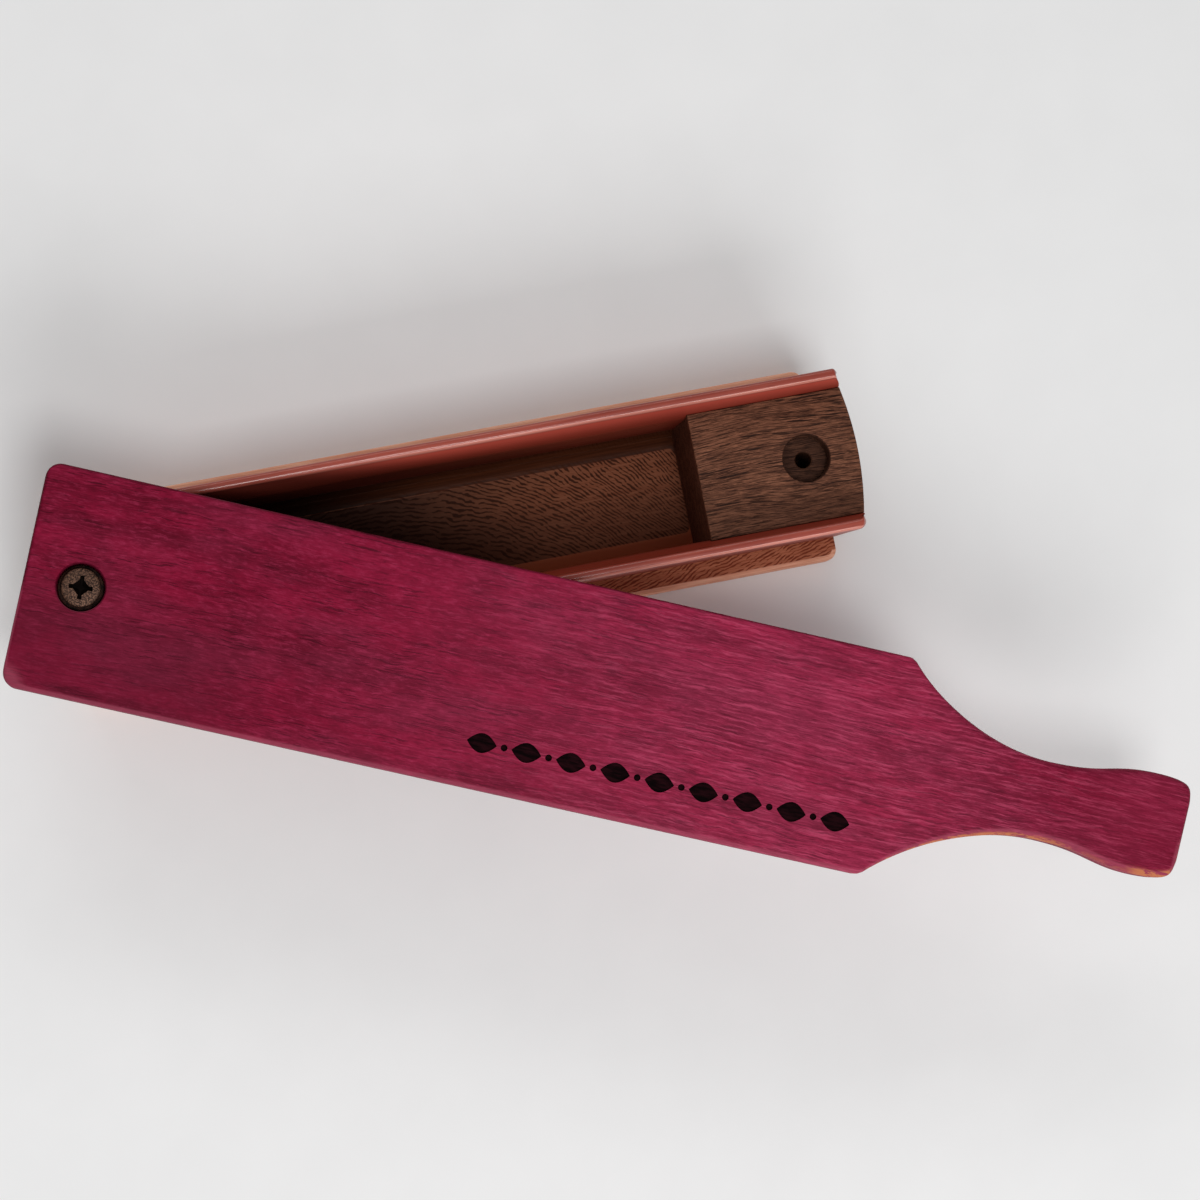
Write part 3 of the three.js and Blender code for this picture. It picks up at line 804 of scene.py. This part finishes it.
def bezier(p0, p1, p2, p3, steps):
    """Points along a cubic curve."""
    points = []
    for i in range(steps + 1):
        t = i / steps
        s = 1 - t
        points.append(tuple(
            s**3 * a + 3 * s * s * t * b + 3 * s * t * t * c + t**3 * d
            for a, b, c, d in zip(p0, p1, p2, p3)
        ))
    return points


def half_outline():
    """The paddle's half-width at rising stations along its length: foot, blade, neck and handle."""
    foot, neck, grip = 3.2, 8.4, 11.1
    points = []
    for i in range(13):
        a = math.radians(90 * i / 12)
        points.append((PADDLE_START + foot - foot * math.cos(a), PADDLE_HALF - foot + foot * math.sin(a)))
    blade = [-8 + 1.5 * i for i in range(8)] + [8 + 4 * i for i in range(41)] + [171.8]
    points += [(x, PADDLE_HALF) for x in blade]
    points += [(172.4, PADDLE_HALF - 0.12), (172.9, PADDLE_HALF - 0.42)]
    points += bezier((173.4, PADDLE_HALF - 0.7), (181.2, 15.0), (195.0, neck), (207.5, neck), 30)
    points += bezier((207.5, neck), (219.7, neck), (221.0, grip), (230.0, grip), 20)[1:]
    points += bezier((230.0, grip), (234.8, grip), (237.4, 10.5), (238.0, 9.0), 10)[1:]
    points += [(238.35, 7.9), (238.55, 6.6), (PADDLE_END, 5.6)]
    return points


def crown_height(y):
    """Height of the crowned underside at a distance from the paddle's middle line."""
    return PADDLE_LOW + CROWN - math.sqrt(CROWN**2 - y * y)


def blend(a, b, t):
    """From a to b, smoothly, as t goes from 0 to 1."""
    t = min(1.0, max(0.0, t))
    return a + (b - a) * t * t * (3 - 2 * t)


def paddle_section(x, half):
    """One closed cross-section: flat top, rounded arrises and a crowned underside."""
    gap = min(x - PADDLE_START, PADDLE_END - x)
    handle = (x - 168) / 30
    low_r, far_r, near_r = blend(0.9, 2.2, handle), blend(0.8, 1.9, handle), blend(1.4, 2.1, handle)
    top = PADDLE_TOP - quarter(blend(0.9, 1.9, handle), gap)
    lift = quarter(low_r, gap)
    under = half - low_r
    base = crown_height(under) + lift
    turns = [math.pi / 2 * i / 6 for i in range(7)]

    section = []
    for i in range(25):
        section.append((-half + near_r + (2 * half - near_r - far_r) * i / 24, top))
    for a in reversed(turns[:-1]):
        section.append((half - far_r + far_r * math.cos(a), top - far_r + far_r * math.sin(a)))
    for a in turns:
        section.append((under + low_r * math.cos(a), base + low_r - low_r * math.sin(a)))
    for i in range(1, 24):
        y = under - 2 * under * i / 24
        section.append((y, crown_height(y) + lift))
    for a in reversed(turns):
        section.append((-under - low_r * math.cos(a), base + low_r - low_r * math.sin(a)))
    for a in turns[:-1]:
        section.append((-half + near_r - near_r * math.cos(a), top - near_r + near_r * math.sin(a)))
    return [uneven(x, y, z) for y, z in section]


def uneven(x, y, z):
    """A point of the paddle with its shoulders and ends a little out of square and a worn corner."""
    shoulder = SHOULDER_SKEW * blend(0, 1, (x - 148) / 20) * (1 - blend(0, 1, (x - 172) / 30))
    foot = FOOT_SKEW * (1 - blend(0, 1, (x - PADDLE_START) / 40))
    tip = END_SKEW * blend(0, 1, (x - 222) / 14)
    slant = (shoulder - foot) * y / PADDLE_HALF + tip * (0.5 + y / 11)
    shift = HOLE_OFF_CENTRE + 0.15 * blend(0, 1, (x - 176) / 10)
    worn = max(0.0, 1 - math.hypot(x - PADDLE_START, y + PADDLE_HALF) / 7.0)
    if z > PADDLE_TOP - 3:
        z -= 0.8 * worn**2
    return (x + slant, y + shift, z)


def prism(outline, low, high):
    """A straight-sided solid on an outline."""
    return skin([[(x, y, low) for x, y in outline], [(x, y, high) for x, y in outline]])


def leaf(cx, cy, length, width):
    """The outline of a pointed oval."""
    steps = 14
    outline = []
    for i in range(2 * steps):
        t = i / steps if i <= steps else 2 - i / steps
        bulge = width / 2 * math.sin(math.pi * t) ** 0.9
        outline.append((cx - length / 2 + length * t, cy + bulge if i <= steps else cy - bulge))
    return outline


def burnt_motif(low, high):
    """A plain running band of leaves and dots near the paddle's edge."""
    start, pitch, y = 87.8, 9.54, -13.4
    outlines = [leaf(start + pitch * i, y, 6.4, 4.2) for i in range(9)]
    outlines += [arc(start + pitch * (i + 0.5), y, 0.72, 0, 345, 23) for i in range(8)]
    return merged(*(prism(outline, low, high) for outline in outlines))


def paddle():
    """The paddle, with a counterbored pivot hole and the burnt band sunk in its top."""
    rings = [paddle_section(x, half) for x, half in half_outline()]
    wood = mesh_object("paddle_wood", skin(rings), PURPLE, OPEN_ANGLE, sharp=40)
    hole, seat, floor = 2.6, 5.0, 42.9
    bore = [
        (0, PADDLE_LOW - 2), (hole, PADDLE_LOW - 2), (hole, floor), (seat - 0.15, floor),
        (seat, floor + 0.15), (seat, 46.6), (seat + 0.05, 47.0), (seat + 0.17, 47.3),
        (seat + 0.4, 47.6), (seat + 0.7, 49.0), (0, 49.0),
    ]
    carve(wood, lathe(bore, 96), PURPLE, OPEN_ANGLE, sharp=40)
    carve(wood, burnt_motif(PADDLE_TOP - 0.35, PADDLE_TOP + 0.5), BURNT, OPEN_ANGLE, sharp=40)
    install(wood, "paddle", "purple_wood", "paddle")


# ------------------------------------------------- screw, washer and the spring


def pivot_screw():
    """Wood screw with a slightly domed head, cross recess, shank, thread and gimlet point."""
    head_r, shank_r, core_r, thread = 4.1, 2.0, 1.35, 0.6
    head = [(0, 0), (1.5, 0.02), (2.8, 0.1), (3.5, 0.2), (3.9, 0.3), (head_r - 0.05, 0.46)]
    head += [(head_r, 0.7), (head_r, 1.5), (head_r - 0.15, 1.9), (3.6, 2.3), (shank_r, 2.3)]
    profile = [(r, SCREW_TOP - depth) for r, depth in head]
    profile += [(shank_r, 36.0), (shank_r - 0.1, 33.5)]
    z, pitch, taper_top = 33.0, 1.6, 19
    while z > 15.5:
        core = core_r if z > taper_top else core_r - (taper_top - z) * 0.24
        crest = core + thread
        profile += [(core, z), (crest, z - 0.5), (crest, z - 0.6), (core, z - 1.1)]
        z -= pitch
    profile += [(0.35, 13.6), (0, 12.7)]
    screw = mesh_object("pivot_screw_metal", lathe(profile, 80), BRASS, sharp=38)
    carve(screw, cross_recess(), RECESS_SHADE, SCREW_TURN, sharp=38)
    install(screw, "sound_box", "aged_brass", "pivot_screw")


def cross_recess():
    """A four-winged driver recess that narrows with depth."""

    def ring(reach, wing, root, z):
        points = []
        for turn in range(4):
            a = math.pi / 2 * turn
            c, s = math.cos(a), math.sin(a)
            for px, py in ((reach, -wing), (reach, wing), (root, wing), (wing, root)):
                points.append((c * px - s * py, s * px + c * py, z))
        return points

    return skin([
        ring(2.5, 0.46, 1.62, SCREW_TOP + 0.5),
        ring(2.45, 0.45, 1.58, SCREW_TOP - 0.1),
        ring(2.05, 0.38, 1.35, SCREW_TOP - 1.2),
        ring(0.9, 0.2, 0.6, SCREW_TOP - 2.0),
    ])


def screw_washer():
    """A thin washer with eased rims, as a closed ring of quads."""
    low, high, inner, outer, ease = WASHER_LOW, WASHER_HIGH, 2.3, 4.8, 0.15
    section = [
        (inner, low + ease), (inner + ease, low), (outer - ease, low), (outer, low + ease),
        (outer, high - 0.25), (outer - ease, high - 0.1), (inner + ease, high), (inner, high - ease),
    ]
    count, segments = len(section), 72
    vertices, faces = [], []
    for i in range(segments):
        a = 2 * math.pi * i / segments
        vertices += [(r * math.cos(a), r * math.sin(a), z) for r, z in section]
        j = (i + 1) % segments
        for k in range(count):
            m = (k + 1) % count
            faces.append((i * count + k, i * count + m, j * count + m, j * count + k))
    washer = mesh_object("screw_washer_metal", (vertices, faces), WASHER_SHADE, sharp=40)
    install(washer, "washer", "dark_steel", "screw_washer")


def coil_rise(turn, turns):
    """Height up the spring, from 0 to 1: its first and last coils lie nearly flat."""
    closed = 0.14
    if turn < 1:
        return closed * turn
    if turn > turns - 1:
        return 1 - closed * (turns - turn)
    return closed + (1 - 2 * closed) * (turn - 1) / (turns - 2)


def pivot_spring():
    """A compression spring with closed end coils."""
    wire, radius, low, high, turns = 0.45, 3.2, 24.5, 37.85, 8.0
    steps, sides = 420, 12
    rings = []
    for i in range(steps + 1):
        t = i / steps
        rise = 0.35 * coil_rise(turns * t, turns) + 0.65 * t
        z = low + wire + (high - low - 2 * wire) * rise
        a = 2 * math.pi * turns * t
        ring = []
        for k in range(sides):
            b = 2 * math.pi * k / sides
            r = radius + wire * math.cos(b)
            ring.append((r * math.cos(a), r * math.sin(a), z + wire * math.sin(b)))
        rings.append(ring)
    spring = mesh_object("pivot_spring_wire", skin(rings), SPRING, sharp=60)
    install(spring, "sound_box", "spring_steel", "pivot_spring")


base_board()
side_board("far_side_wood", "far_side_board", 1, 0.8)
side_board("near_side_wood", "near_side_board", -1, 1.7)
spare_bore = stepped_bore(5.2, 4.0, 1.8, 17.0)
pivot_bore = stepped_bore(4.2, 6.0, 2.1, 18.0)
end_block("free_block_wood", "free_end_block", FREE_BLOCK_START, FREE_END, spare_bore, SPARE_BORE_AT)
end_block("pivot_block_wood", "pivot_end_block", PIVOT_BLOCK_END, PIVOT_END, pivot_bore, 0.0)
paddle()
pivot_screw()
screw_washer()
pivot_spring()

# ---------------------------------------------------------------------- studio


def floor_material():
    """A pale matt floor with a faint grain."""
    look = Look("studio_floor", roughness=0.9)
    grain = look.grain((60, 60, 60), 3.0, 0.5)
    look.set("Base Color", look.mix(grain, srgb(236, 236, 236), srgb(241, 241, 241)))
    return look.material


def studio_floor():
    """A wide floor just under the call."""
    reach, z = 3, -0.0003
    corners = [(-reach, -reach, z), (reach, -reach, z), (reach, reach, z), (-reach, reach, z)]
    mesh = bpy.data.meshes.new("studio_floor")
    mesh.from_pydata(corners, [], [(0, 1, 2, 3)])
    mesh.materials.append(floor_material())
    floor = bpy.data.objects.new("studio_floor", mesh)
    bpy.context.scene.collection.objects.link(floor)


def area_light(name, place, target, size, watts, highlight=1.0):
    """A rectangular light aimed at target; highlight is how far it shows in gloss."""
    data = bpy.data.lights.new(name, "AREA")
    data.shape = "RECTANGLE"
    data.size, data.size_y = size
    data.energy = watts
    data.specular_factor = highlight
    light = bpy.data.objects.new(name, data)
    light.location = place
    light.rotation_euler = (Vector(target) - Vector(place)).to_track_quat("-Z", "Y").to_euler()
    bpy.context.scene.collection.objects.link(light)


def studio():
    """The floor, soft lights above, in front and behind, and an even white surround."""
    studio_floor()
    centre = (0.1, -0.02, 0.03)
    area_light("high", (0.1, -0.36, 1.3), centre, (0.35, 0.35), 4.9, 0.3)
    area_light("front", (0.12, -1.02, 0.87), centre, (0.9, 0.5), 7.3)
    area_light("back", (0.1, 1.1, 0.95), centre, (1.0, 0.4), 4.0, 0.0)
    world = bpy.data.worlds.new("studio")
    world.use_nodes = True
    background = world.node_tree.nodes["Background"]
    background.inputs["Color"].default_value = (1, 1, 1, 1)
    background.inputs["Strength"].default_value = 0.3
    bpy.context.scene.world = world
    bpy.context.scene.view_settings.view_transform = "Standard"


def camera():
    """Nearly overhead, a little towards the open side, so that the far board shows its inner face."""
    data = bpy.data.cameras.new("camera")
    data.sensor_width, data.lens = 36.0, 105.0
    data.clip_start, data.clip_end = 0.01, 20.0
    tilt = [math.radians(angle) for angle in (-2.524, 7.678, 10.784)]
    view = Euler(tilt, "XYZ").to_matrix().transposed()
    eye = bpy.data.objects.new("camera", data)
    eye.matrix_world = Matrix.Translation(Vector((7.33, -54.64, 773.67)) * MM) @ view.to_4x4()
    bpy.context.scene.collection.objects.link(eye)
    bpy.context.scene.camera = eye


studio()
camera()
